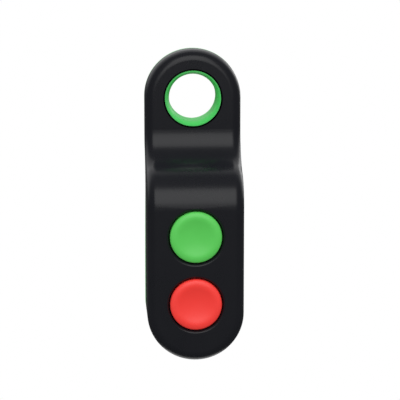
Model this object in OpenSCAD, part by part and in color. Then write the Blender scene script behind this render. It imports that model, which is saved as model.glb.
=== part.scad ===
/* [Case] */
// Width of the case and of its round ends
case_w = 40.3; // [38:0.1:48]
// From the eye centre down to the centre of the bottom arc
eye_to_toe = 87.4; // [86:0.1:105]
// Thickness of the eye plate, front to back
plate_t = 10.5; // [9:0.1:12.6]
// Depth of the lower body, from the plane of the plate's back to the front face
body_t = 33; // [31:0.1:39]
// Wall of the two mouldings
wall_t = 2.4; // [2:0.1:2.8]
// Rounding of the front edges
edge_r = 4; // [3.4:0.1:4.8]
// Rounding of the rear cover's back edges
back_edge_r = 1.8; // [1.2:0.1:2.2]

/* [Front sweep] */
// From the eye centre down to where the plate's front starts to sweep forward
sweep_top = 13; // [12:0.1:15.6]
// Radius of the hollow under the eye
hollow_r = 14.25; // [12:0.05:17.1]
// Radius of the shoulder above the buttons
shoulder_r = 17; // [15:0.1:20.4]

/* [Rear cover] */
// Depth of the parting line on the lower body, measured like body_t
parting_t = 12; // [11:0.1:13]
// From the eye centre down to where the plate's back turns in to the finger hollow
hollow_top = 16.4; // [15:0.1:18]
// Radius of the bend between the plate's back and the finger hollow
nape_r = 9; // [8:0.1:11]
// Radius of the finger hollow
finger_r = 15; // [14:0.1:18]
// Depth of the lower end of the back, measured like body_t
heel_t = 2.2; // [1:0.1:3]

/* [Eye] */
// Radius of the eye hole in the front shell
eye_r = 11.85; // [11:0.05:12.5]
// Inner radius of the green tube that lines the eye
throat_r = 9.9; // [9:0.1:10.2]
// From the front of the plate back to where the flared mouth meets the straight throat
mouth_t = 4.3; // [3.5:0.1:5]
// How far the tube's lip lies behind the front of the plate
lip_back = 0.3; // [0.2:0.1:0.6]
// Radius of the curve that flares the mouth
mouth_r = 6.6; // [6:0.1:8]

/* [Buttons] */
// Radius of a button cap
cap_r = 10.8; // [10:0.1:11.2]
// Ring gap between a cap and the front shell
cap_gap = 0.55; // [0.4:0.05:0.8]
// How far a cap stands proud of the front face
cap_proud = 0.8; // [0.2:0.1:1.2]
// Rounding of the front shell's edge round a cap
rim_r = 1.2; // [0.8:0.1:1.4]
// Distance between the two button centres
button_pitch = 28.6; // [28:0.1:32]
// From the centre of the bottom arc up to the stop button centre
toe_to_stop = 4.4; // [4:0.1:6]
// Travel of a button
travel = 2.2; // [1.5:0.1:2.2]
// Height of a cap from its rim to the end of its skirt
cap_h = 4.2; // [4:0.1:4.6]
// Depth of the hollow in a cap's face
dish = 1.2; // [0.8:0.1:1.3]
// Radius of the soft crown between a cap's dish and its edge
crown_r = 4; // [3.5:0.1:5]
// From a cap's side in to the top of the crown
crown_in = 2.3; // [2:0.1:2.6]
// Rounding of a cap's outer edge
bead_r = 1.2; // [0.8:0.1:1.5]
// Radius of a cap's stem
stem_r = 3; // [2.6:0.1:3.4]

/* [Circuit board] */
// Thickness of the board
board_t = 1.6; // [1:0.1:2]
// From the parting plane forward to the back of the board
board_lift = 0.9; // [0.6:0.1:1.2]
// Side of a square switch body
switch_w = 12; // [11:0.1:13]

/* [Fasteners] */
// Radius of the case screws' shanks
screw_r = 1.2; // [1:0.1:1.3]
// Length of a case screw under its head
screw_l = 8; // [7:0.5:9]
// Outer radius of a thread insert
insert_r = 1.9; // [1.8:0.1:2.1]
// Radius of the small self-tapping screws in the plate and the board
tapping_r = 0.8; // [0.7:0.05:0.9]

/* [Hidden] */
$fn = 96;

shell_black = "#232429";
cover_green = "#3fb560";
start_green = "#5cc35a";
stop_red = "#f0453e";
fit = 0.05;
gap = 0.1;
half_w = case_w / 2;
origin_t = 3.4;
past = 1;
step = 0.01;
run_fn = 4 * $fn;

stop_z = toe_to_stop - eye_to_toe;
start_z = stop_z + button_pitch;
well_r = cap_r + cap_gap;
well_wall = 1.5;
rim_t = body_t - 0.975 * rim_r;
cap_top = body_t + cap_proud;
cap_base = cap_top - cap_h;
floor_top = cap_base - travel - 0.3;
floor_t = 1.8;
guide_h = 1.5;
guide_r = stem_r + 2.5;
guide_end = floor_top - floor_t - guide_h;
clip_t = 0.5;
clip_r = stem_r + 1.8;
groove_r = stem_r - 0.7;
clip_front = guide_end - fit;
stem_end = clip_front - clip_t - 0.4;
seal_wire_r = 0.7;
seal_r = stem_r + fit + seal_wire_r;
seal_seat_r = seal_r + seal_wire_r + fit;
cap_floor = 1.8;
cap_shelf = cap_top - dish - cap_floor;
skirt_t = 1.4;
spring_wire = 0.35;
spring_low_r = cap_r - skirt_t - 1;
spring_top_r = seal_seat_r + 1.2;
spring_turns = 3;

sweep_turn = acos(1 - (body_t - plate_t) / (hollow_r + shoulder_r));
sweep_end = sweep_top + (hollow_r + shoulder_r) * sin(sweep_turn);
hollow_c = [plate_t + hollow_r, -sweep_top];
shoulder_c = [body_t - shoulder_r, -sweep_end];

cover_t = wall_t;
finger_t = parting_t - cover_t;
nape_turn = acos(1 - finger_t / (nape_r + finger_r));
finger_z = -hollow_top - (nape_r + finger_r) * sin(nape_turn);
palm_run = eye_to_toe + finger_z;
palm_rise = finger_t - heel_t;
palm_r = (pow(palm_run, 2) + pow(palm_rise, 2)) / (2 * palm_rise) - finger_r;
nape_c = [-nape_r, -hollow_top];
finger_c = [finger_r - finger_t, finger_z];
palm_c = [-heel_t - palm_r, -eye_to_toe];
palm_turn = asin(palm_run / (palm_r + finger_r));
cover_reach = parting_t + 6;

bay_top = finger_z - 1;
groove_in = wall_t;
groove_w = 1.2;
groove_h = 1.5;
rib_t = 1;
rib_in = groove_in + groove_w + rib_t;
band_t = 3;
partition_t = wall_t;

board_back = parting_t + board_lift;
board_front = board_back + board_t;
board_gap = 0.4;
switch_h = 4;
switch_top = board_front + switch_h;
plunger_r = 2.4;
plunger_foot_r = 3.1;
plunger_foot_h = 0.5;
plunger_room = 0.1;
pocket_floor = board_front + 0.4;
pocket_top = switch_top - 0.5;
plunger_top = stem_end - gap;

boss_r = 3;
boss_in = rib_in + 3.5;
screw_x = half_w - boss_in;
screw_up_z = bay_top - 8.3;
screw_low_z = -eye_to_toe - (half_w - boss_in) * 0.75;
screw_low_x = (half_w - boss_in) * 0.66;
head_seat = parting_t - 0.4;
head_r = 2.3;
head_h = 1.7;
tube_top = parting_t + 2.4;
tube_wall = 1.5;
insert_l = 4;
screw_spots = [[-screw_x, screw_up_z], [screw_x, screw_up_z],
    [-screw_low_x, screw_low_z], [screw_low_x, screw_low_z]];

plate_screw_x = half_w - 5.6;
plate_screw_z = -eye_r - 3;
plate_post_r = 2.4;
plate_screw_l = 5.4;
plate_head_r = 1.9;
plate_cross_h = 0.6;

post_r = 2.4;
post_x = half_w - 7.1;
post_z = (start_z + stop_z) / 2;
post_spots = [[-post_x, post_z], [post_x, post_z], [0, -eye_to_toe - 12.6]];
board_screw_l = 4.5;
board_head_r = 1.7;
board_head_h = 1.1;

cell_r = 10;
cell_t = 3.2;
cell_step = 1;
cell_lip = 0.5;
cell_room = 0.3;
cell_z = screw_low_z + 16.4;
holder_r = cell_r + 1.6;
holder_floor = 0.6;
cell_front = board_back - holder_floor - 0.6;
holder_back = cell_front - cell_t + 0.6;
holder_slot = 8;
strip_t = 0.2;
strip_w = 4;
bow_half = 5;
contact_w = 6;
contact_reach = 5;
contact_bend = 0.7;

can_size = [12, 15, 2];
can_spot = [-5.5, start_z - 3];
chip_size = [9, 9, 1.1];
chip_spot = [7.5, start_z - 4];
crystal_size = [8, 3.4, 1.8];
crystal_spot = [6.5, start_z - 11.5];
leg_w = 1;
leg_l = 1.2;
leg_t = 0.3;
antenna_l = 16;
antenna_r = 2;
antenna_wire = 0.3;
antenna_turns = 9;
antenna_z = bay_top - rib_in - 3;

// Points of the side view along an arc about a [depth, height] centre
function arc_points(c, r, from, to, n = 8) = [for (i = [0:n])
    let (a = from + (to - from) * i / n) [c[0] + r * cos(a), c[1] + r * sin(a)]];

// The front's side line moved in by inset, from the plate down to the shoulder
function front_points(inset) = concat(
    arc_points(hollow_c, hollow_r + inset, 180, 180 + sweep_turn),
    arc_points(shoulder_c, shoulder_r - inset, sweep_turn, 0));

// The back's side line moved in by inset, from the plate down to the toe
function back_points(inset) = concat(
    arc_points([-nape_c[0], nape_c[1]], nape_r - inset, 180, 180 + nape_turn),
    arc_points([-finger_c[0], finger_c[1]], finger_r + inset, nape_turn, -palm_turn),
    arc_points([-palm_c[0], palm_c[1]], palm_r - inset, 180 - palm_turn, 180));

// The parting line follows the back at the cover's wall until it runs straight down
parting_points = concat(
    arc_points([-nape_c[0], nape_c[1]], nape_r - cover_t, 180, 180 + nape_turn),
    arc_points([-finger_c[0], finger_c[1]], finger_r + cover_t, nape_turn, 0));

// Puts a shape drawn along +z so that it points forward from depth t at x, z
module facing(x, z, t) {
    translate([x, origin_t - t, z]) rotate([90, 0, 0]) children();
}

// Flat shape drawn in x and z, filled from depth t0 forward to t1
module slab(t0, t1) {
    facing(0, 0, t0) linear_extrude(t1 - t0) children();
}

// Whole width of the case's section: face along y = 0 with rounded corners, going back along +y
module section(half, r, depth) {
    translate([r - half, 0]) square([2 * (half - r), depth]);
    translate([-half, r]) square([2 * half, depth - r]);
    for (side = [-1, 1]) translate([side * (half - r), r]) circle(r);
}

// Right half of the same section
module half_section(half, r, depth) {
    square([half - r, depth]);
    translate([0, r]) square([half, depth - r]);
    translate([half - r, r]) circle(r);
}

// Flat shape drawn in y and z, filled across the case
module filled_across(width) {
    rotate([90, 0, 90]) linear_extrude(width, center = true) children();
}

// Prism across the whole case whose side view is a list of [depth, height] corners
module across(corners) {
    filled_across(case_w + 2 * past) polygon([for (c = corners) [-c[0], c[1]]]);
}

// Turns a shape drawn as [radius, x] about an axis across the case at a [depth, height] centre
module turned_about(c) {
    translate([0, -c[0], c[1]]) rotate([0, 90, 0]) rotate_extrude($fn = run_fn) children();
}

// Straight run of the case with its face at depth t
module straight_run(t, z_top, z_low, r, depth) {
    translate([0, -t, z_low]) linear_extrude(z_top - z_low) section(half_w, r, depth);
}

// Hollow run: the face curves round a centre in front of it, inside the given corners.
// It lies one step deeper than its neighbours, so that no two faces graze each other.
module hollow_run(c, face_r, corners, r, depth) {
    intersection() {
        turned_about(c) translate([face_r + step, 0]) rotate(-90) section(half_w, r, depth);
        across(corners);
    }
}

// Crowned run: the face curves round a centre behind it, inside the given corners
module crowned_run(c, face_r, corners, r, depth) {
    intersection() {
        turned_about(c) translate([face_r, 0]) rotate(90) section(half_w, r, min(depth, face_r));
        across(corners);
    }
}

// Round end of the case about the depth axis, with its face at depth t
module round_end(t, z, r, depth, start) {
    translate([0, 0, z]) rotate([90, 0, 0]) rotate_extrude(angle = 180, start = start)
        translate([0, t]) mirror([0, 1]) half_section(half_w, r, depth);
}

// The case's whole front, run on past the plate's back
module front_body() {
    far = body_t + past;
    translate([0, origin_t, 0]) {
        round_end(plate_t, 0, edge_r, plate_t + past, 0);
        straight_run(plate_t, 0, -sweep_top, edge_r, plate_t + past);
        hollow_run(hollow_c, hollow_r,
            [[-past, -sweep_top], hollow_c, shoulder_c, [-past, -sweep_end]], edge_r, 2 * body_t);
        crowned_run(shoulder_c, shoulder_r,
            [hollow_c, [far, -sweep_top], [far, -sweep_end], shoulder_c], edge_r, body_t);
        straight_run(body_t, -sweep_end, -eye_to_toe, edge_r, body_t + past);
        round_end(body_t, -eye_to_toe, edge_r, body_t + past, 180);
    }
}

// The case's whole back, run on past the parting line
module back_body() {
    far = -cover_reach;
    slope = (palm_c[1] - finger_c[1]) / (palm_c[0] - finger_c[0]);
    line_end = [far, finger_c[1] + slope * (far - finger_c[0])];
    translate([0, origin_t, 0]) mirror([0, 1, 0]) {
        round_end(0, 0, back_edge_r, cover_reach, 0);
        straight_run(0, 0, -hollow_top, back_edge_r, cover_reach);
        crowned_run(nape_c, nape_r,
            [nape_c, [finger_r, -hollow_top], [finger_r, finger_z], finger_c], back_edge_r, nape_r);
        hollow_run(finger_c, finger_r,
            [finger_c, nape_c, [far, -hollow_top], line_end], back_edge_r, 4 * cover_reach);
        crowned_run(palm_c, palm_r,
            [finger_c, line_end, [far, -eye_to_toe], [finger_c[0], -eye_to_toe]],
            back_edge_r, cover_reach);
        round_end(-heel_t, -eye_to_toe, back_edge_r, cover_reach, 180);
    }
}

// Everything behind the parting line, or everything in front of it
module beside_parting(forward) {
    far = forward ? body_t + 2 * past : -20 - past;
    top = half_w + past;
    low = -eye_to_toe - half_w - past;
    translate([0, origin_t, 0]) across(concat([[far, top], [cover_t, top]], parting_points,
        [[parting_t, low], [far, low]]));
}

// Outline of the whole case, drawn in x and z
module case_outline(inset) {
    circle(half_w - inset);
    translate([inset - half_w, -eye_to_toe]) square([2 * (half_w - inset), eye_to_toe]);
    translate([0, -eye_to_toe]) circle(half_w - inset);
}

// Outline of the electronics bay, drawn in x and z
module bay_outline(inset) {
    translate([0, -eye_to_toe]) circle(half_w - inset);
    translate([inset - half_w, -eye_to_toe])
        square([2 * (half_w - inset), bay_top - inset + eye_to_toe]);
}

// Ring between two insets of the bay outline
module bay_ring(outer, inner) {
    difference() {
        bay_outline(outer);
        bay_outline(inner);
    }
}

// Round post pointing forward from depth t0 to t1
module post(spot, r, t0, t1) {
    facing(spot[0], spot[1], t0) cylinder(r = r, h = t1 - t0);
}

// Room inside the front shell, without what stands in it
module front_room() {
    difference() {
        intersection() {
            slab(-past, body_t) case_outline(wall_t);
            translate([0, origin_t, 0]) across(concat(
                [[-past - past, half_w], [plate_t - wall_t, half_w]], front_points(wall_t),
                [[body_t - wall_t, -eye_to_toe - half_w], [-past - past, -eye_to_toe - half_w]]));
        }
        facing(0, 0, -2 * past) cylinder(r = eye_r + well_wall, h = body_t);
        slab(0, body_t) translate([-half_w, bay_top - partition_t]) square([case_w, partition_t]);
        slab(parting_t - past, parting_t + band_t) bay_ring(0, rib_in);
        for (z = [start_z, stop_z]) {
            post([0, z], well_r + well_wall, floor_top - floor_t, body_t);
            post([0, z], guide_r, guide_end, floor_top);
        }
        for (spot = screw_spots) post(spot, boss_r, tube_top + gap, body_t);
        for (spot = post_spots) post(spot, post_r, board_front, body_t);
        for (side = [-1, 1]) post([side * plate_screw_x, plate_screw_z], plate_post_r, 0, plate_t);
    }
}

// Round well for a cap, with a rounded rim at the front face
module well(z) {
    facing(0, z, 0) rotate_extrude() {
        translate([0, floor_top]) square([well_r, body_t + past - floor_top]);
        difference() {
            translate([0, rim_t]) square([well_r + rim_r, body_t + past - rim_t]);
            translate([well_r + rim_r, rim_t]) circle(rim_r);
        }
    }
}

module front_shell() {
    color(shell_black) difference() {
        front_body();
        beside_parting(false);
        front_room();
        facing(0, 0, 0) cylinder(r = eye_r, h = plate_t + past);
        for (z = [start_z, stop_z]) {
            well(z);
            post([0, z], seal_seat_r, floor_top - 2 * seal_wire_r, body_t);
            post([0, z], stem_r + fit, guide_end - past, floor_top);
        }
        for (spot = screw_spots) {
            post(spot, insert_r, tube_top, tube_top + gap + insert_l);
            post(spot, screw_r + gap, tube_top, head_seat + screw_l + 0.5);
        }
        for (spot = post_spots) post(spot, tapping_r + fit, board_front - past, board_back + board_screw_l + 0.5);
        for (side = [-1, 1])
            post([side * plate_screw_x, plate_screw_z], tapping_r + fit, 0, plate_screw_l + 0.5);
    }
}

// Hollow of the rear cover, without the screw tubes that stand in it
module back_room() {
    difference() {
        intersection() {
            slab(0, parting_t + past) bay_outline(rib_in);
            translate([0, origin_t, 0]) across(concat([[parting_t + 2 * past, -hollow_top]],
                back_points(wall_t), [[heel_t + wall_t, -eye_to_toe - half_w],
                [parting_t + 2 * past, -eye_to_toe - half_w]]));
        }
        for (spot = screw_spots) post(spot, head_r + tube_wall, 0, parting_t + past);
        for (x = [-half_w, screw_x]) slab(0, parting_t + past) translate([x, screw_up_z])
            square([half_w - screw_x, bay_top - screw_up_z]);
    }
}

// Tube that lines the eye, with a mouth flared by an arc
module eye_tube() {
    mouth_at = plate_t - mouth_t;
    tube_w = eye_r - gap - throat_r;
    facing(0, 0, 0) rotate_extrude() {
        translate([throat_r, 0]) square([tube_w, mouth_at]);
        intersection() {
            translate([throat_r, mouth_at]) square([tube_w, mouth_t - lip_back]);
            translate([throat_r + mouth_r, mouth_at]) circle(mouth_r);
        }
    }
}

module rear_cover() {
    color(cover_green) difference() {
        union() {
            difference() {
                back_body();
                beside_parting(true);
                back_room();
                slab(parting_t - groove_h, parting_t + past) bay_ring(groove_in, groove_in + groove_w);
            }
            eye_tube();
            for (spot = screw_spots) post(spot, boss_r, parting_t - 2, tube_top);
        }
        facing(0, 0, -past) cylinder(r = throat_r, h = past + 0.5 * plate_t);
        for (spot = screw_spots) {
            post(spot, head_r + gap, -past, head_seat);
            post(spot, screw_r + gap, 0, tube_top + past);
        }
        for (side = [-1, 1]) {
            post([side * plate_screw_x, plate_screw_z], tapping_r + gap, -past, cover_t + past);
            facing(side * plate_screw_x, plate_screw_z, 0)
                cylinder(r1 = plate_head_r + gap, r2 = tapping_r + gap, h = plate_head_r - tapping_r);
        }
    }
}

module case_gasket() {
    color("#3a3b40") slab(parting_t - groove_h, parting_t) bay_ring(groove_in + fit, groove_in + groove_w - fit);
}

// Cross-shaped recess for a screwdriver, drawn along +z
module cross_slot(length, width, depth) {
    for (turn = [0, 90]) rotate(turn) translate([-length / 2, -width / 2, 0]) cube([length, width, depth]);
}

// Pan-head screw that points forward from its seat
module pan_screw(spot, seat, length, r, cap_radius, cap_height) {
    post(spot, r, seat, seat + length);
    difference() {
        post(spot, cap_radius, seat - cap_height, seat);
        facing(spot[0], spot[1], seat - cap_height - past)
            cross_slot(cap_radius * 1.2, cap_radius * 0.24, past + cap_height / 2);
    }
}

module case_screws() {
    color("silver") for (spot = screw_spots)
        pan_screw(spot, head_seat, screw_l, screw_r, head_r, head_h);
}

module thread_inserts() {
    color("goldenrod") for (spot = screw_spots) difference() {
        post(spot, insert_r - fit / 2, tube_top + gap, tube_top + gap + insert_l);
        post(spot, screw_r + fit, tube_top, tube_top + insert_l + 1);
    }
}

module plate_screws() {
    color("silver") for (side = [-1, 1]) difference() {
        union() {
            post([side * plate_screw_x, plate_screw_z], tapping_r, 0.1, plate_screw_l);
            facing(side * plate_screw_x, plate_screw_z, 0.1)
                cylinder(r1 = plate_head_r - fit, r2 = tapping_r - fit, h = plate_head_r - tapping_r);
        }
        facing(side * plate_screw_x, plate_screw_z, -past)
            cross_slot(plate_head_r * 1.2, plate_head_r / 4, past + plate_cross_h);
    }
}

// Dished button cap with a crowned rim, a skirt and a stem that runs through the guide.
// The dish, the crown and the rounded edge run into each other without a crease.
module button_cap(z) {
    crown_x = cap_r - crown_in;
    crown_c = cap_top - crown_r;
    dish_r = (pow(crown_x, 2) + pow(dish, 2)) / (2 * dish) - crown_r;
    dish_join = dish_r * crown_x / (dish_r + crown_r);
    bead_x = cap_r - bead_r;
    bead_c = crown_c + sqrt(pow(crown_r - bead_r, 2) - pow(bead_x - crown_x, 2));
    bead_join = crown_x + (bead_x - crown_x) * crown_r / (crown_r - bead_r);
    stem_root = cap_shelf + cap_floor / 4;
    facing(0, z, 0) rotate_extrude() {
        difference() {
            translate([0, cap_shelf]) square([dish_join, cap_top - cap_shelf]);
            translate([0, cap_top - dish + dish_r]) circle(dish_r);
        }
        intersection() {
            translate([dish_join, cap_shelf]) square([bead_join - dish_join, cap_top - cap_shelf]);
            translate([crown_x, crown_c]) circle(crown_r);
        }
        intersection() {
            translate([bead_join, bead_c]) square([cap_r - bead_join, bead_r]);
            translate([bead_x, bead_c]) circle(bead_r);
        }
        translate([cap_r - skirt_t, cap_base]) square([skirt_t, bead_c - cap_base]);
        translate([0, stem_end]) square([groove_r, stem_root - stem_end]);
        translate([0, stem_end]) square([stem_r, clip_front - clip_t - fit - stem_end]);
        translate([0, clip_front + fit]) square([stem_r, stem_root - clip_front - fit]);
    }
}

module start_cap() {
    color(start_green) button_cap(start_z);
}

module stop_cap() {
    color(stop_red) button_cap(stop_z);
}

module stem_seal(z) {
    color("#2b2b2e") facing(0, z, floor_top - seal_wire_r) rotate_extrude()
        translate([seal_r, 0]) circle(seal_wire_r - fit / 2);
}

module start_seal() {
    stem_seal(start_z);
}

module stop_seal() {
    stem_seal(stop_z);
}

// Rings of points round a helix that stands on z = 0, with closed coils at both ends
function coil_points(r_low, r_top, wire, height, turns, steps, sides) = [for (i = [0:steps])
    let (
        a = 360 * turns * i / steps,
        r = r_low + (r_top - r_low) * i / steps,
        h = wire + (height - 2 * wire) * (0.5 - 0.5 * cos(180 * i / steps))
    ) for (j = [0:sides - 1])
        let (b = 360 * j / sides)
            [(r + wire * cos(b)) * cos(a), (r + wire * cos(b)) * sin(a), h + wire * sin(b)]];

function tube_faces(steps, sides) = concat(
    [[for (j = [0:sides - 1]) j]],
    [for (i = [0:steps - 1], j = [0:sides - 1]) [
        i * sides + j,
        (i + 1) * sides + j,
        (i + 1) * sides + (j + 1) % sides,
        i * sides + (j + 1) % sides]],
    [[for (j = [sides - 1:-1:0]) steps * sides + j]]);

// Coil of round wire standing on z = 0, from one radius at its foot to another at its top
module coil(r_low, r_top, wire, height, turns, steps_per_turn, sides) {
    steps = turns * steps_per_turn;
    polyhedron(coil_points(r_low, r_top, wire, height, turns, steps, sides),
        tube_faces(steps, sides), convexity = 10);
}

// Conical spring whose turns sink into each other when the cap is pressed
module return_spring(z) {
    color("silver") facing(0, z, floor_top + fit)
        coil(spring_low_r, spring_top_r, spring_wire, cap_shelf - floor_top - 2 * fit, spring_turns, 20, 6);
}

module start_spring() {
    return_spring(start_z);
}

module stop_spring() {
    return_spring(stop_z);
}

// Open clip that snaps into the stem's groove behind the guide
module retaining_clip(z) {
    mouth = groove_r * 1.6;
    color("silver") facing(0, z, clip_front - clip_t) linear_extrude(clip_t) difference() {
        circle(clip_r);
        circle(groove_r + fit);
        translate([-mouth / 2, -clip_r - past]) square([mouth, clip_r + past]);
    }
}

module start_clip() {
    retaining_clip(start_z);
}

module stop_clip() {
    retaining_clip(stop_z);
}

// Square switch body with a pocket for its plunger and four legs soldered flat to the board
module switch_body(z) {
    color("#2f3136") {
        difference() {
            slab(board_front, switch_top) translate([-switch_w / 2, z - switch_w / 2]) square(switch_w);
            post([0, z], plunger_foot_r + gap, pocket_floor, pocket_top);
            post([0, z], plunger_r + gap, pocket_floor, switch_top + past);
        }
        for (side = [-1, 1]) slab(board_front, board_front + leg_t)
            translate([-switch_w / 2 - leg_l, z + side * switch_w / 3 - leg_w / 2])
                square([switch_w + 2 * leg_l, leg_w]);
    }
}

module start_switch() {
    switch_body(start_z);
}

module stop_switch() {
    switch_body(stop_z);
}

module switch_plunger(z) {
    foot = pocket_top - plunger_foot_h - plunger_room;
    color("#d8d2c4") {
        post([0, z], plunger_foot_r, foot, foot + plunger_foot_h);
        post([0, z], plunger_r, foot, plunger_top);
    }
}

module start_plunger() {
    switch_plunger(start_z);
}

module stop_plunger() {
    switch_plunger(stop_z);
}

module circuit_board() {
    color("#1f6b3a") slab(board_back, board_front) difference() {
        bay_outline(rib_in + board_gap);
        for (spot = screw_spots) translate(spot) circle(boss_r + board_gap);
        for (side = [-1, 1]) translate([side * screw_x, screw_up_z])
            translate([side > 0 ? 0 : -boss_in, -boss_r - board_gap]) square([boss_in, 20]);
        for (spot = post_spots) translate(spot) circle(tapping_r + gap);
    }
}

module board_screws() {
    color("silver") for (spot = post_spots)
        pan_screw(spot, board_back, board_screw_l, tapping_r, board_head_r, board_head_h);
}

// Flat part of size [width, height, thickness] on the back of the board
module on_back(spot, size) {
    slab(board_back - size[2], board_back)
        translate([spot[0] - size[0] / 2, spot[1] - size[1] / 2]) square([size[0], size[1]]);
}

module radio_can() {
    color("silver") on_back(can_spot, can_size);
}

module controller_chip() {
    color("#222222") on_back(chip_spot, chip_size);
}

module crystal() {
    color("silver") on_back(crystal_spot, crystal_size);
}

// Coil of wire that lies on the front of the board
module antenna() {
    color("goldenrod")
        translate([-antenna_l / 2, origin_t - board_front - antenna_r - antenna_wire - fit, antenna_z])
            rotate([0, 90, 0]) coil(antenna_r, antenna_r, antenna_wire, antenna_l, antenna_turns, 14, 6);
}

// Round tray on the back of the board that holds the coin cell
module battery_holder() {
    color("#26272c") difference() {
        post([0, cell_z], holder_r, holder_back, board_back);
        post([0, cell_z], cell_r + cell_room, holder_back - past, board_back - holder_floor);
        slab(holder_back - past, board_back - holder_floor)
            translate([-holder_slot / 2, cell_z - holder_r - past]) square([holder_slot, holder_r]);
    }
}

module coin_cell() {
    color("silver") {
        post([0, cell_z], cell_r - cell_step, cell_front - cell_lip, cell_front);
        post([0, cell_z], cell_r, cell_front - cell_t, cell_front - cell_lip);
    }
}

// Bowed strip between the holder's floor and the small pole of the cell
module battery_spring() {
    bow_h = board_back - holder_floor - cell_front - strip_t - fit;
    bow_r = (pow(bow_half, 2) + pow(bow_h, 2)) / (2 * bow_h);
    color("silver") translate([0, origin_t - cell_front - bow_r, cell_z - strip_w / 2])
        linear_extrude(strip_w) intersection() {
            difference() {
                circle(bow_r, $fn = run_fn);
                circle(bow_r - strip_t, $fn = run_fn);
            }
            translate([-bow_half, 0]) square([2 * bow_half, bow_r + past]);
        }
}

// Bent strip that stands in the holder's slot and reaches over the back of the cell
module battery_contact() {
    foot = board_back - holder_floor;
    back = cell_front - cell_t - fit - strip_t;
    low = cell_z - cell_r - cell_room - 0.5;
    color("silver") translate([0, origin_t, 0]) filled_across(contact_w) {
        translate([-foot, low]) square([foot - back - contact_bend, strip_t]);
        translate([-back - strip_t, low + contact_bend]) square([strip_t, contact_reach - contact_bend]);
        intersection() {
            translate([-back - contact_bend, low]) square(contact_bend);
            translate([-back - contact_bend, low + contact_bend]) difference() {
                circle(contact_bend);
                circle(contact_bend - strip_t);
            }
        }
    }
}

front_shell();
rear_cover();
case_gasket();
case_screws();
thread_inserts();
plate_screws();
start_cap();
start_seal();
start_spring();
start_clip();
start_switch();
start_plunger();
stop_cap();
stop_seal();
stop_spring();
stop_clip();
stop_switch();
stop_plunger();
circuit_board();
board_screws();
radio_can();
controller_chip();
crystal();
antenna();
battery_holder();
coin_cell();
battery_spring();
battery_contact();
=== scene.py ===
import math
import bmesh
import bpy
from mathutils import Matrix, Vector


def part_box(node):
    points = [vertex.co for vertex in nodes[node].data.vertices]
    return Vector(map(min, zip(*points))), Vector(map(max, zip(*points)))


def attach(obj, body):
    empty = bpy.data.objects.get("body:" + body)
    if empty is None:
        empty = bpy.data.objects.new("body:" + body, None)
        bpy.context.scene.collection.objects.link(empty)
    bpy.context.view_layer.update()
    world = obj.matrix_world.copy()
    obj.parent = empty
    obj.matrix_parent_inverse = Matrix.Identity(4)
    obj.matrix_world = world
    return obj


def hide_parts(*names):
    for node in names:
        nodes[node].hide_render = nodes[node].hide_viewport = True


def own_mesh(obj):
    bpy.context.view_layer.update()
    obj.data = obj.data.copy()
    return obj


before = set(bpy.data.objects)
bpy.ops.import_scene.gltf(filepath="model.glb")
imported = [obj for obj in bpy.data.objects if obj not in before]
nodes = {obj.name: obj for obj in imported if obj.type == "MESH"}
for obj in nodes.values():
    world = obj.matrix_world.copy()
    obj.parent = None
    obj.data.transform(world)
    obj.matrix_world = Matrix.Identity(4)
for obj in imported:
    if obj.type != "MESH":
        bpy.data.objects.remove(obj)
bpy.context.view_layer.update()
print("frame loaded:", len(nodes), "pieces")


# turns a screen colour into the linear values that the shaders take
def linearColour(hexCode):
    parts = [int(hexCode[i:i + 2], 16) / 255 for i in (1, 3, 5)]
    return [c / 12.92 if c <= 0.04045 else ((c + 0.055) / 1.055) ** 2.4 for c in parts] + [1.0]


# adds one shader node, sets its fields and sockets, and links sockets into it
def addNode(tree, kind, settings={}, links={}):
    node = tree.nodes.new(kind)
    for name, value in settings.items():
        if isinstance(name, str) and hasattr(node, name):
            setattr(node, name, value)
        else:
            node.inputs[name].default_value = value
    for name, socket in links.items():
        tree.links.new(socket, node.inputs[name])
    return node


def newMaterial(name):
    material = bpy.data.materials.new(name)
    material.use_nodes = True
    material.node_tree.nodes.clear()
    return material, material.node_tree


def perMetre(millimetres):  # scale of a pattern whose features are that far apart
    return 1000 / millimetres


# ABS shells from a spark-eroded tool: a fine matt grain, satin sheen, almost no tone change
shellFinish = {"colour": "#17181d", "lift": "#1a1b20", "ior": 1.46, "rough": 0.28, "roughSwing": 0.03,
               "grainMm": 0.5, "grainDepth": 0.00002, "flowMm": 14}
# same process in a dyed green, a little softer in sheen
coverFinish = {"colour": "#42c85a", "lift": "#48d061", "ior": 1.53, "rough": 0.42, "roughSwing": 0.05,
               "grainMm": 0.5, "grainDepth": 0.00002, "flowMm": 14}
# caps come from a smoother tool, so their grain is shallow and they shine more than the cover
greenCapFinish = {"colour": "#59cd57", "lift": "#5ed35c", "ior": 1.5, "rough": 0.34, "roughSwing": 0.04,
                  "grainMm": 0.6, "grainDepth": 0.00001, "flowMm": 10}
redCapFinish = {"colour": "#fe3b34", "lift": "#ff4139", "ior": 1.5, "rough": 0.34, "roughSwing": 0.04,
                "grainMm": 0.6, "grainDepth": 0.00001, "flowMm": 10}
# glass-filled nylon of switch bodies and the battery tray, duller and coarser
switchFinish = {"colour": "#26282c", "lift": "#303238", "ior": 1.53, "rough": 0.55, "roughSwing": 0.08,
                "grainMm": 0.4, "grainDepth": 0.00003, "flowMm": 5}
# acetal plungers, waxy and off-white
plungerFinish = {"colour": "#d3ccbc", "lift": "#ddd7c8", "ior": 1.48, "rough": 0.38, "roughSwing": 0.05,
                 "grainMm": 0.8, "grainDepth": 0.00001, "flowMm": 4}
# what all of them share: how fine the drift of tone and the grain are drawn, and how much the grain shows
plasticPattern = {"flowDetail": 3, "grainDetail": 2, "grainStrength": 0.5}


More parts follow.
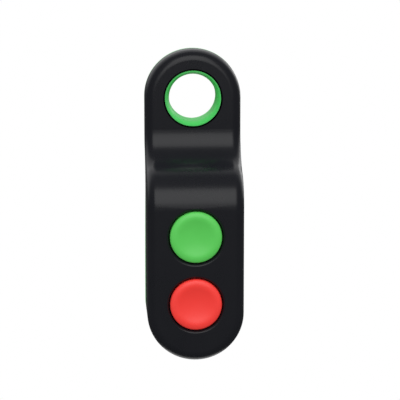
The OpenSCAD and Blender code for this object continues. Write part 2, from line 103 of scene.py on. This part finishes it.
def mouldedPlastic(name, finish):
    material, tree = newMaterial(name)
    place = addNode(tree, "ShaderNodeTexCoord").outputs["Object"]
    flow = addNode(tree, "ShaderNodeTexNoise", {
        "Scale": perMetre(finish["flowMm"]), "Detail": plasticPattern["flowDetail"]}, {"Vector": place})
    # sockets 6 and 7 of a mix are its two colours, and output 2 is the mixed one
    colour = addNode(tree, "ShaderNodeMix", {
        "data_type": "RGBA", 6: linearColour(finish["colour"]), 7: linearColour(finish["lift"])},
        {"Factor": flow.outputs["Fac"]})
    rough = addNode(tree, "ShaderNodeMapRange", {
        "To Min": finish["rough"] - finish["roughSwing"], "To Max": finish["rough"] + finish["roughSwing"]},
        {"Value": flow.outputs["Fac"]})
    grain = addNode(tree, "ShaderNodeTexNoise", {
        "Scale": perMetre(finish["grainMm"]), "Detail": plasticPattern["grainDetail"]}, {"Vector": place})
    bump = addNode(tree, "ShaderNodeBump", {
        "Strength": plasticPattern["grainStrength"], "Distance": finish["grainDepth"]},
        {"Height": grain.outputs["Fac"]})
    shader = addNode(tree, "ShaderNodeBsdfPrincipled", {"IOR": finish["ior"]}, {
        "Base Color": colour.outputs[2], "Roughness": rough.outputs["Result"], "Normal": bump.outputs["Normal"]})
    addNode(tree, "ShaderNodeOutputMaterial", links={"Surface": shader.outputs["BSDF"]})
    return material


# EPDM, pressed in a mould: dull, with a faint bloom
rubberFinish = {"colour": "#1d1d1f", "ior": 1.52, "rough": 0.72, "sheen": 0.12,
                "grainMm": 0.3, "grainDetail": 4, "grainDepth": 0.00003, "grainStrength": 0.4}


def mouldedRubber(name, finish):
    material, tree = newMaterial(name)
    place = addNode(tree, "ShaderNodeTexCoord").outputs["Object"]
    grain = addNode(tree, "ShaderNodeTexNoise", {
        "Scale": perMetre(finish["grainMm"]), "Detail": finish["grainDetail"]}, {"Vector": place})
    bump = addNode(tree, "ShaderNodeBump", {
        "Strength": finish["grainStrength"], "Distance": finish["grainDepth"]}, {"Height": grain.outputs["Fac"]})
    shader = addNode(tree, "ShaderNodeBsdfPrincipled", {
        "Base Color": linearColour(finish["colour"]), "Roughness": finish["rough"], "IOR": finish["ior"],
        "Sheen Weight": finish["sheen"]}, {"Normal": bump.outputs["Normal"]})
    addNode(tree, "ShaderNodeOutputMaterial", links={"Surface": shader.outputs["BSDF"]})
    return material


# zinc plate on steel screws: pale, slightly cloudy
zincFinish = {"colour": "#c9cbcc", "shade": "#a9adb0", "rough": 0.34, "cloudMm": 1.5, "streakMm": 0.15}
# drawn spring wire and stamped strip: grey and fairly bright
springFinish = {"colour": "#b9bbbd", "shade": "#8f9295", "rough": 0.26, "cloudMm": 0.8, "streakMm": 0.1}
# turned brass of the thread inserts, and the antenna's wire
brassFinish = {"colour": "#d9b366", "shade": "#b88f45", "rough": 0.28, "cloudMm": 1.2, "streakMm": 0.12}
# tinned sheet of the shield can and the crystal's can
tinFinish = {"colour": "#c4c6c6", "shade": "#a7aaab", "rough": 0.38, "cloudMm": 2.5, "streakMm": 0.2}
# stainless can of the coin cell
cellFinish = {"colour": "#cfcfcd", "shade": "#b7b7b5", "rough": 0.24, "cloudMm": 3, "streakMm": 0.12}
# what all of them share: the streaks of the work are drawn out along Z and change the sheen
metalPattern = {"cloudDetail": 4, "streakDetail": 2, "streakStretch": 0.08, "roughSwing": 0.08,
                "streakDepth": 0.00002, "streakStrength": 0.25}


def workedMetal(name, finish):
    material, tree = newMaterial(name)
    place = addNode(tree, "ShaderNodeTexCoord").outputs["Object"]
    cloud = addNode(tree, "ShaderNodeTexNoise", {
        "Scale": perMetre(finish["cloudMm"]), "Detail": metalPattern["cloudDetail"]}, {"Vector": place})
    colour = addNode(tree, "ShaderNodeMix", {
        "data_type": "RGBA", 6: linearColour(finish["colour"]), 7: linearColour(finish["shade"])},
        {"Factor": cloud.outputs["Fac"]})
    stretch = addNode(tree, "ShaderNodeMapping", {"Scale": (1, 1, metalPattern["streakStretch"])},
                      {"Vector": place})
    streaks = addNode(tree, "ShaderNodeTexNoise", {
        "Scale": perMetre(finish["streakMm"]), "Detail": metalPattern["streakDetail"]},
        {"Vector": stretch.outputs["Vector"]})
    rough = addNode(tree, "ShaderNodeMapRange", {
        "To Min": finish["rough"] - metalPattern["roughSwing"],
        "To Max": finish["rough"] + metalPattern["roughSwing"]}, {"Value": streaks.outputs["Fac"]})
    bump = addNode(tree, "ShaderNodeBump", {
        "Strength": metalPattern["streakStrength"], "Distance": metalPattern["streakDepth"]},
        {"Height": streaks.outputs["Fac"]})
    shader = addNode(tree, "ShaderNodeBsdfPrincipled", {"Metallic": 1.0}, {
        "Base Color": colour.outputs[2], "Roughness": rough.outputs["Result"], "Normal": bump.outputs["Normal"]})
    addNode(tree, "ShaderNodeOutputMaterial", links={"Surface": shader.outputs["BSDF"]})
    return material


# glass-fibre laminate under green solder resist: the copper tracks show as paler, raised lines
boardFinish = {"resist": "#14532f", "track": "#1f7040", "ior": 1.55, "rough": 0.3,
               "trackMm": 2.4, "trackWidth": 0.12, "trackSoftness": 0.2, "trackLength": 1.7, "trackRow": 0.55,
               "trackShift": 0.37, "trackDepth": 0.00004, "trackStrength": 0.5}


def coatedLaminate(name, finish):
    material, tree = newMaterial(name)
    place = addNode(tree, "ShaderNodeTexCoord").outputs["Object"]
    turned = addNode(tree, "ShaderNodeMapping", {"Rotation": (math.radians(90), 0, 0)}, {"Vector": place})
    tracks = addNode(tree, "ShaderNodeTexBrick", {
        "Scale": perMetre(finish["trackMm"]), "Mortar Size": finish["trackWidth"],
        "Mortar Smooth": finish["trackSoftness"], "Brick Width": finish["trackLength"],
        "Row Height": finish["trackRow"], "offset": finish["trackShift"]}, {"Vector": turned.outputs["Vector"]})
    colour = addNode(tree, "ShaderNodeMix", {
        "data_type": "RGBA", 6: linearColour(finish["resist"]), 7: linearColour(finish["track"])},
        {"Factor": tracks.outputs["Fac"]})
    bump = addNode(tree, "ShaderNodeBump", {
        "Strength": finish["trackStrength"], "Distance": finish["trackDepth"]}, {"Height": tracks.outputs["Fac"]})
    shader = addNode(tree, "ShaderNodeBsdfPrincipled", {"Roughness": finish["rough"], "IOR": finish["ior"]}, {
        "Base Color": colour.outputs[2], "Normal": bump.outputs["Normal"]})
    addNode(tree, "ShaderNodeOutputMaterial", links={"Surface": shader.outputs["BSDF"]})
    return material


# moulded epoxy of the chip, evenly pitted by its tool
chipFinish = {"colour": "#191a1b", "ior": 1.55, "rough": 0.62, "pitMm": 0.25, "pitDepth": 0.00002,
              "pitStrength": 0.4}


def mouldedEpoxy(name, finish):
    material, tree = newMaterial(name)
    place = addNode(tree, "ShaderNodeTexCoord").outputs["Object"]
    pits = addNode(tree, "ShaderNodeTexVoronoi", {"Scale": perMetre(finish["pitMm"])}, {"Vector": place})
    bump = addNode(tree, "ShaderNodeBump", {
        "Strength": finish["pitStrength"], "Distance": finish["pitDepth"]}, {"Height": pits.outputs["Distance"]})
    shader = addNode(tree, "ShaderNodeBsdfPrincipled", {
        "Base Color": linearColour(finish["colour"]), "Roughness": finish["rough"], "IOR": finish["ior"]},
        {"Normal": bump.outputs["Normal"]})
    addNode(tree, "ShaderNodeOutputMaterial", links={"Surface": shader.outputs["BSDF"]})
    return material


# painted shade round the shell's eye hole: the shell's colour and sheen fade to black across a narrow ring,
# standing in for the shade of the joint with the green tube
eyeRimPaintedShade = {"innerR": 0.0122, "outerR": 0.0126, "specular": 0.5}


def paintEyeRimShade(material, values):
    tree = material.node_tree
    shader = next(n for n in tree.nodes if n.type == "BSDF_PRINCIPLED")
    place = next(n for n in tree.nodes if n.type == "TEX_COORD").outputs["Object"]
    across = addNode(tree, "ShaderNodeVectorMath", {"operation": "MULTIPLY", 1: (1, 0, 1)}, {0: place})
    reach = addNode(tree, "ShaderNodeVectorMath", {"operation": "LENGTH"}, {0: across.outputs["Vector"]})
    clear = addNode(tree, "ShaderNodeMapRange", {
        "interpolation_type": "SMOOTHSTEP", "From Min": values["innerR"], "From Max": values["outerR"]},
        {"Value": reach.outputs["Value"]})
    # painted shade: the base colour is black inside innerR and clears by outerR
    colour = addNode(tree, "ShaderNodeMix", {"data_type": "RGBA", 6: (0, 0, 0, 1)}, {
        "Factor": clear.outputs["Result"], 7: shader.inputs["Base Color"].links[0].from_socket})
    tree.links.new(colour.outputs[2], shader.inputs["Base Color"])
    # the painted shade also dims the sheen inside the ring
    shine = addNode(tree, "ShaderNodeMath", {"operation": "MULTIPLY", 1: values["specular"]},
                    {0: clear.outputs["Result"]})
    tree.links.new(shine.outputs[0], shader.inputs["Specular IOR Level"])


shellBlack = mouldedPlastic("mouldedAbsBlack", shellFinish)
# paints the shade of the joint round the eye hole into the black shell
paintEyeRimShade(shellBlack, eyeRimPaintedShade)
coverGreen = mouldedPlastic("mouldedAbsGreen", coverFinish)
capGreen = mouldedPlastic("smoothAbsGreen", greenCapFinish)
capRed = mouldedPlastic("smoothAbsRed", redCapFinish)
switchNylon = mouldedPlastic("filledNylonBlack", switchFinish)
plungerAcetal = mouldedPlastic("acetalIvory", plungerFinish)
sealRubber = mouldedRubber("pressedRubber", rubberFinish)
zincSteel = workedMetal("zincPlatedSteel", zincFinish)
springSteel = workedMetal("drawnSpringSteel", springFinish)
turnedBrass = workedMetal("turnedBrass", brassFinish)
tinnedSteel = workedMetal("tinnedSheetSteel", tinFinish)
cellSteel = workedMetal("pressedStainless", cellFinish)
boardLaminate = coatedLaminate("coatedLaminate", boardFinish)
chipEpoxy = mouldedEpoxy("mouldedEpoxy", chipFinish)

nodeMaterials = {
    "front_shell": shellBlack, "rear_cover": coverGreen, "case_gasket": sealRubber,
    "case_screws": zincSteel, "thread_inserts": turnedBrass, "plate_screws": zincSteel,
    "start_cap": capGreen, "start_seal": sealRubber, "start_spring": springSteel, "start_clip": springSteel,
    "start_switch": switchNylon, "start_plunger": plungerAcetal,
    "stop_cap": capRed, "stop_seal": sealRubber, "stop_spring": springSteel, "stop_clip": springSteel,
    "stop_switch": switchNylon, "stop_plunger": plungerAcetal,
    "circuit_board": boardLaminate, "board_screws": zincSteel, "radio_can": tinnedSteel,
    "controller_chip": chipEpoxy, "crystal": tinnedSteel, "antenna": turnedBrass,
    "battery_holder": switchNylon, "coin_cell": cellSteel, "battery_spring": springSteel,
    "battery_contact": springSteel,
}
for name, material in nodeMaterials.items():
    mesh = nodes[name].data
    mesh.materials.clear()
    mesh.materials.append(material)
print("materials on", len(nodeMaterials), "pieces")


# turns a whole mesh by a quarter about an axis
def layDown(bm, axis):
    bmesh.ops.rotate(bm, cent=(0, 0, 0), matrix=Matrix.Rotation(math.radians(90), 3, axis), verts=bm.verts)


sharpAngle = 0.6  # radians between two faces from which their edge stays sharp


# writes a finished mesh into an object at the origin
def makePiece(name, bm, material):
    for edge in bm.edges:
        edge.smooth = len(edge.link_faces) != 2 or edge.calc_face_angle() < sharpAngle
    mesh = bpy.data.meshes.new(name)
    bm.to_mesh(mesh)
    bm.free()
    for polygon in mesh.polygons:
        polygon.use_smooth = True
    mesh.materials.append(material)
    piece = bpy.data.objects.new(name, mesh)
    bpy.context.scene.collection.objects.link(piece)
    return piece


# caps turned from one profile: dish, crown and rounded edge blend without a line, and the stem has its clip groove
buttonCap = {"capR": 0.0108, "top": 0.030399, "base": 0.0262, "shelf": 0.0274, "skirtT": 0.0014,
             "dishDepth": 0.0012, "crownR": 0.004, "crownIn": 0.0023, "beadR": 0.0012,
             "blend": 0.0009, "blendSamples": 6,
             "stemR": 0.003, "grooveR": 0.0023, "grooveFrom": 0.0198, "grooveTo": 0.0204,
             "stemEnd": 0.01945, "faceSteps": 60, "beadSteps": 16, "sides": 144, "mergeGap": 0.000001}
buttonPlaces = {"start": {"z": -0.0544, "material": capGreen, "slot": "cap_green"},
                "stop": {"z": -0.083, "material": capRed, "slot": "cap_red"}}


# slope of the CAD's cap face at a distance from its axis, as a sine: hollow dish inside, round crown outside
def faceSlope(values, r):
    crownX = values["capR"] - values["crownIn"]
    dishR = (crownX ** 2 + values["dishDepth"] ** 2) / (2 * values["dishDepth"]) - values["crownR"]
    join = dishR * crownX / (dishR + values["crownR"])
    return r / dishR if r < join else (crownX - r) / values["crownR"]


# half outline of a cap as (distance from the axis, height), from the stem's end round to the middle of the dish
def capProfile(values):
    capR, crownR, beadR = values["capR"], values["crownR"], values["beadR"]
    crownX, crownH = capR - values["crownIn"], values["top"] - crownR
    beadX = capR - beadR
    beadH = crownH + math.sqrt((crownR - beadR) ** 2 - (beadX - crownX) ** 2)
    joinX = crownX + (beadX - crownX) * crownR / (crownR - beadR)
    joinH = crownH + math.sqrt(crownR ** 2 - (joinX - crownX) ** 2)
    # the face is walked inwards from where it meets the edge's bead, with its slope averaged over the blend
    step = joinX / values["faceSteps"]
    samples = values["blendSamples"]
    heights = [joinH]
    for i in range(values["faceSteps"]):
        r = joinX - (i + 0.5) * step
        reach = min(values["blend"], joinX - r, r)
        sines = [faceSlope(values, r + reach * k / samples) for k in range(-samples, samples + 1)]
        sine = sum(sines) / len(sines)
        heights.append(heights[-1] - step * sine / math.sqrt(1 - sine * sine))
    face = [(joinX - i * step, h) for i, h in enumerate(heights[:-1])] + [(0, heights[-1])]
    edgeFrom = math.atan2(joinH - beadH, joinX - beadX)
    bead = [(beadX + beadR * math.cos(edgeFrom * k / values["beadSteps"]),
             beadH + beadR * math.sin(edgeFrom * k / values["beadSteps"]))
            for k in range(values["beadSteps"])]
    skirtR = capR - values["skirtT"]
    under = [(0, values["stemEnd"]), (values["stemR"], values["stemEnd"]),
             (values["stemR"], values["grooveFrom"]), (values["grooveR"], values["grooveFrom"]),
             (values["grooveR"], values["grooveTo"]), (values["stemR"], values["grooveTo"]),
             (values["stemR"], values["shelf"]), (skirtR, values["shelf"]),
             (skirtR, values["base"]), (capR, values["base"])]
    return under + bead + face


# turns a profile round the axis and lays it with its height to the front
def turnProfile(points, sides, mergeGap):
    bm = bmesh.new()
    verts = [bm.verts.new((r, 0, h)) for r, h in points]
    edges = [bm.edges.new(pair) for pair in zip(verts, verts[1:])]
    bmesh.ops.spin(bm, geom=verts + edges, cent=(0, 0, 0), axis=(0, 0, 1), angle=2 * math.pi, steps=sides,
                   use_merge=True)
    bmesh.ops.remove_doubles(bm, verts=bm.verts, dist=mergeGap)
    bmesh.ops.recalc_face_normals(bm, faces=bm.faces)
    layDown(bm, "X")
    return bm


for name, place in buttonPlaces.items():
    bm = turnProfile(capProfile(buttonCap), buttonCap["sides"], buttonCap["mergeGap"])
    bmesh.ops.translate(bm, vec=(0, 0, place["z"]), verts=bm.verts)
    piece = makePiece(name + "TurnedCap", bm, place["material"])
    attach(piece, name + "_button")
    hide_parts(name + "_cap")
print("caps turned")


# sweeps a round wire along a helix that stands on z = 0, from one radius at its foot to another at its top
def sweepCoil(values):
    bm = bmesh.new()
    wire = bmesh.ops.create_circle(bm, segments=values["wireSides"], radius=values["wireR"])["verts"]
    layDown(bm, "X")
    bmesh.ops.translate(bm, vec=(values["footR"], 0, values["wireR"]), verts=wire)
    ring = list(bm.edges)
    steps = values["turns"] * values["stepsPerTurn"]
    rise = values["height"] - 2 * values["wireR"]
    turn = 2 * math.pi / values["stepsPerTurn"]
    out = (values["topR"] - values["footR"]) / steps
    for i in range(steps):
        # the coil starts and ends flat, as a closed end does, unless it is wound evenly
        was, now = [(0.5 - 0.5 * math.cos(math.pi * k / steps)) if values["flatEnds"] else k / steps
                    for k in (i, i + 1)]
        grown = bmesh.ops.extrude_edge_only(bm, edges=ring)["geom"]
        wire = [g for g in grown if isinstance(g, bmesh.types.BMVert)]
        ring = [g for g in grown if isinstance(g, bmesh.types.BMEdge) and all(v in wire for v in g.verts)]
        bmesh.ops.rotate(bm, cent=(0, 0, 0), matrix=Matrix.Rotation(turn, 3, "Z"), verts=wire)
        heading = turn * (i + 1)
        bmesh.ops.translate(bm, vec=(out * math.cos(heading), out * math.sin(heading), rise * (now - was)),
                            verts=wire)
    bmesh.ops.holes_fill(bm, edges=[e for e in bm.edges if e.is_boundary], sides=0)
    bmesh.ops.recalc_face_normals(bm, faces=bm.faces)
    return bm


# conical return springs: each stands on the floor of its well
returnSpring = {"wireR": 0.00035, "wireSides": 10, "footR": 0.0084, "topR": 0.0057, "turns": 3,
                "stepsPerTurn": 40, "height": 0.0036, "flatEnds": True, "footY": -0.02375, "floorY": -0.0237,
                "pressed": 0.405}

for name, place in buttonPlaces.items():
    bm = sweepCoil(returnSpring)
    layDown(bm, "X")
    bmesh.ops.translate(bm, vec=(0, returnSpring["footY"], place["z"]), verts=bm.verts)
    piece = makePiece(name + "ReturnSpring", bm, springSteel)
    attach(piece, "case")
    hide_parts(name + "_spring")
    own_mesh(piece)

# antenna wound from brass wire, lying on the front of the board
antennaCoil = {"wireR": 0.0003, "wireSides": 8, "footR": 0.002, "topR": 0.002, "turns": 9,
               "stepsPerTurn": 28, "height": 0.016, "flatEnds": False}

antennaLow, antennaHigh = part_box("antenna")
bm = sweepCoil(antennaCoil)
layDown(bm, "Y")
bmesh.ops.translate(bm, vec=(-antennaCoil["height"] / 2, (antennaLow[1] + antennaHigh[1]) / 2,
                             (antennaLow[2] + antennaHigh[2]) / 2), verts=bm.verts)
piece = makePiece("antennaCoil", bm, turnedBrass)
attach(piece, "case")
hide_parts("antenna")
print("springs and antenna wound")


# floor in metres, its glow for the camera and the share of it for what shines; fill is the light on matt surfaces
# between two heights of the sky; what shines sees dim, and white above low and behind whiteFrom
studio = {
    "floorZ": -0.42, "floorY": 0.18, "floorRadius": 0.2, "floorSides": 96, "floorColour": "#d8d8d8",
    "floorGlow": 0.7, "floorShine": 0.3,
    "fillBelow": 0.3, "fillAbove": 1.32, "fillFrom": -0.5, "fillTo": 0.9,
    "dim": 0.07, "white": 0.74, "whiteFrom": 0.05, "whiteTo": 0.35, "lowFrom": -0.1, "lowTo": 0.2,
}


# pale floor below the hanging box; its glow is for the camera and for what shines, so that its shadow stays
def makeFloor(values):
    bm = bmesh.new()
    bmesh.ops.create_circle(bm, cap_ends=True, segments=values["floorSides"], radius=values["floorRadius"])
    bmesh.ops.translate(bm, vec=(0, values["floorY"], values["floorZ"]), verts=bm.verts)
    mesh = bpy.data.meshes.new("floor")
    bm.to_mesh(mesh)
    bm.free()
    floor = bpy.data.objects.new("floor", mesh)
    bpy.context.scene.collection.objects.link(floor)
    material, tree = newMaterial("paintedFloor")
    paint = addNode(tree, "ShaderNodeBsdfDiffuse", {"Color": linearColour(values["floorColour"])})
    light = addNode(tree, "ShaderNodeLightPath")
    shine = addNode(tree, "ShaderNodeMath", {"operation": "MULTIPLY", 1: values["floorShine"]},
                    {0: light.outputs["Is Glossy Ray"]})
    seen = addNode(tree, "ShaderNodeMath", {"operation": "MAXIMUM"}, {
        0: light.outputs["Is Camera Ray"], 1: shine.outputs[0]})
    glow = addNode(tree, "ShaderNodeMath", {"operation": "MULTIPLY", 1: values["floorGlow"]},
                   {0: seen.outputs[0]})
    white = addNode(tree, "ShaderNodeEmission", {"Color": (1, 1, 1, 1)}, {"Strength": glow.outputs[0]})
    both = addNode(tree, "ShaderNodeAddShader", links={0: paint.outputs[0], 1: white.outputs[0]})
    addNode(tree, "ShaderNodeOutputMaterial", links={"Surface": both.outputs[0]})
    mesh.materials.append(material)


# white all round for the camera; what shines sees white only behind the box, and a dim room elsewhere
def makeWorld(values):
    world = bpy.data.worlds.new("studioWorld")
    bpy.context.scene.world = world
    world.use_nodes = True
    tree = world.node_tree
    tree.nodes.clear()
    light = addNode(tree, "ShaderNodeLightPath")
    heading = addNode(tree, "ShaderNodeTexCoord").outputs["Generated"]
    axes = addNode(tree, "ShaderNodeSeparateXYZ", links={"Vector": heading})
    behind = addNode(tree, "ShaderNodeMapRange", {
        "interpolation_type": "SMOOTHSTEP", "From Min": values["whiteFrom"], "From Max": values["whiteTo"]},
        {"Value": axes.outputs["Y"]})
    above = addNode(tree, "ShaderNodeMapRange", {
        "interpolation_type": "SMOOTHSTEP", "From Min": values["lowFrom"], "From Max": values["lowTo"]},
        {"Value": axes.outputs["Z"]})
    high = addNode(tree, "ShaderNodeMath", {"operation": "MULTIPLY"}, {
        0: behind.outputs["Result"], 1: above.outputs["Result"]})
    room = addNode(tree, "ShaderNodeMapRange", {"To Min": values["dim"], "To Max": values["white"]},
                   {"Value": high.outputs[0]})
    clear = addNode(tree, "ShaderNodeMath", {"operation": "MAXIMUM"}, {
        0: light.outputs["Is Camera Ray"], 1: light.outputs["Is Transmission Ray"]})
    fill = addNode(tree, "ShaderNodeMapRange", {
        "From Min": values["fillFrom"], "From Max": values["fillTo"],
        "To Min": values["fillBelow"], "To Max": values["fillAbove"]}, {"Value": axes.outputs["Z"]})
    # sockets 2 and 3 of a mix of numbers are its two ends
    plain = addNode(tree, "ShaderNodeMix", {"data_type": "FLOAT", 3: 1.0}, {
        0: clear.outputs[0], 2: fill.outputs[0]})
    level = addNode(tree, "ShaderNodeMix", {"data_type": "FLOAT"}, {
        0: light.outputs["Is Glossy Ray"], 2: plain.outputs[0], 3: room.outputs["Result"]})
    sky = addNode(tree, "ShaderNodeBackground", {"Color": (1, 1, 1, 1)}, {"Strength": level.outputs[0]})
    addNode(tree, "ShaderNodeOutputWorld", links={"Surface": sky.outputs[0]})


# azimuth 0 is straight in front of the box, elevation above the horizon, sizes in metres, power in watts
lamps = {
    "keySoftbox": {"azimuth": 0, "elevation": 26.5, "distance": 0.9, "size": (0.72, 0.775), "power": 2.46},
    "sideSoftbox": {"azimuth": 138, "elevation": 10, "distance": 0.9, "size": (0.34, 0.5), "power": 0.88},
    "backSoftbox": {"azimuth": 180, "elevation": 58, "distance": 0.9, "size": (0.9, 0.5), "power": 0.1},
}


def around(azimuth, elevation):
    a, e = math.radians(azimuth), math.radians(elevation)
    return Vector((math.sin(a) * math.cos(e), -math.cos(a) * math.cos(e), math.sin(e)))


def makeLamps(lamps, aim):
    for name, values in lamps.items():
        lamp = bpy.data.lights.new(name, "AREA")
        lamp.shape = "RECTANGLE"
        lamp.size, lamp.size_y = values["size"]
        lamp.energy = values["power"]
        holder = bpy.data.objects.new(name, lamp)
        back = around(values["azimuth"], values["elevation"])
        holder.location = aim + back * values["distance"]
        holder.rotation_euler = (-back).to_track_quat("-Z", "Y").to_euler()
        bpy.context.scene.collection.objects.link(holder)


# lens and sensor in millimetres, distances in metres
view = {"azimuth": -3.3, "elevation": 12.0, "distance": 0.9, "lens": 193.8, "sensor": 36,
        "nearest": 0.01, "aim": (0.00247, -0.0146, -0.0417)}


def makeCamera(values):
    camera = bpy.data.objects.new("camera", bpy.data.cameras.new("camera"))
    back = around(values["azimuth"], values["elevation"])
    camera.location = Vector(values["aim"]) + back * values["distance"]
    camera.rotation_euler = (-back).to_track_quat("-Z", "Y").to_euler()
    camera.data.lens = values["lens"]
    camera.data.sensor_width = values["sensor"]
    camera.data.clip_start = values["nearest"]
    bpy.context.scene.collection.objects.link(camera)
    bpy.context.scene.camera = camera


makeFloor(studio)
makeWorld(studio)
makeLamps(lamps, Vector(view["aim"]))
makeCamera(view)
bpy.context.scene.view_settings.view_transform = "Standard"
print("studio ready")
